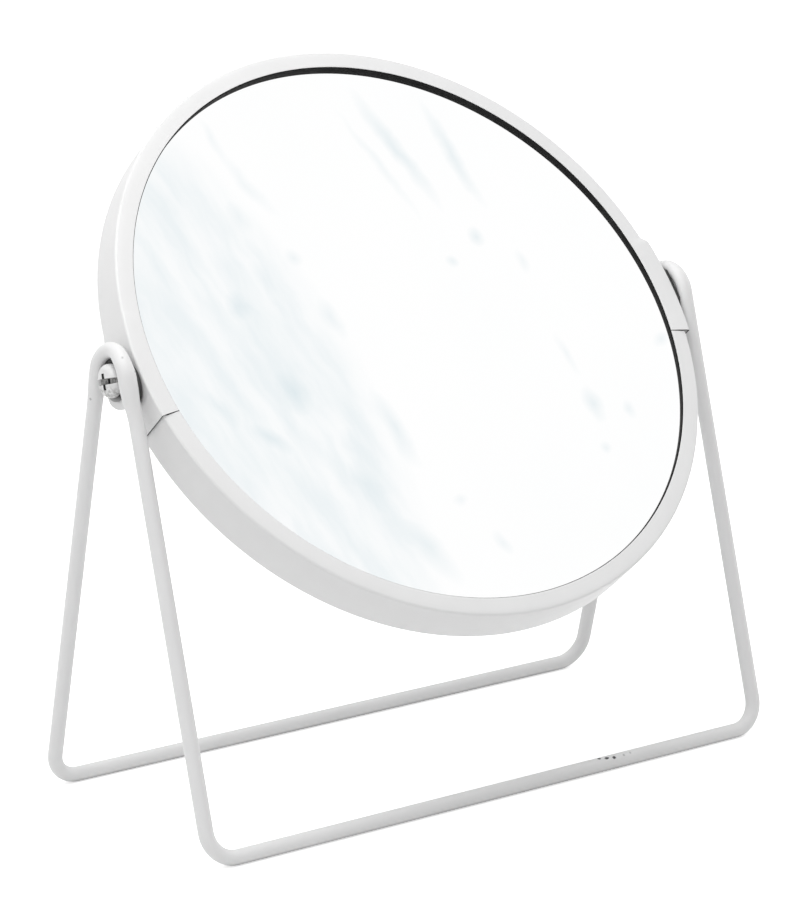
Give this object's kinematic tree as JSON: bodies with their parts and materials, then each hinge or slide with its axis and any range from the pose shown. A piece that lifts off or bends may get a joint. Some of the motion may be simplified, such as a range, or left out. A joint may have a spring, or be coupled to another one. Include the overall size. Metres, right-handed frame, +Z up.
{
  "type": "makeup mirror",
  "caption": "Round two-sided table mirror in a white channel rim that tilts on screws between the eyes of a bent-wire stand.",
  "frame": {"origin": "on the table, below the middle of the pivot axis", "axes": "+X along the pivot axis to the viewer's right, -Y towards the viewer, +Z up"},
  "size_m": [0.1842, 0.1174, 0.1869],
  "materials": {
    "stand_coat": "white powder coat, satin",
    "rim_coat": "white powder coat, satin",
    "screw_coat": "white paint, satin",
    "washer_nylon": "black nylon",
    "black_steel": "blackened spring steel",
    "plated_steel": "zinc plated",
    "gasket_rubber": "black, matt",
    "silvered_glass": "polished mirror",
    "fibre_board": "raw fibre board",
    "spacer_plastic": "matt"
  },
  "bodies": {
    "stand": {"stand_wire": "stand_coat", "pivot_plate_left": "stand_coat", "pivot_plate_right": "stand_coat"},
    "mirror_head": {"rim_upper": "rim_coat", "rim_lower": "rim_coat", "pivot_screw_left": "screw_coat", "pivot_screw_right": "screw_coat", "spring_washer_left": "black_steel", "spring_washer_right": "black_steel", "friction_washer_left": "washer_nylon", "friction_washer_right": "washer_nylon", "nut_plate_left": "plated_steel", "nut_plate_right": "plated_steel", "front_gasket": "gasket_rubber", "flat_glass": "silvered_glass", "backing_board": "fibre_board", "spacer_ring": "spacer_plastic", "magnifying_glass": "silvered_glass", "rear_gasket": "gasket_rubber"}
  },
  "joints": [
    {"name": "mirror_tilt", "type": "hinge", "parent": "stand", "child": "mirror_head", "pos_m": [0, 0, 0.1174], "axis": [1, 0, 0], "continuous": true}
  ]
}
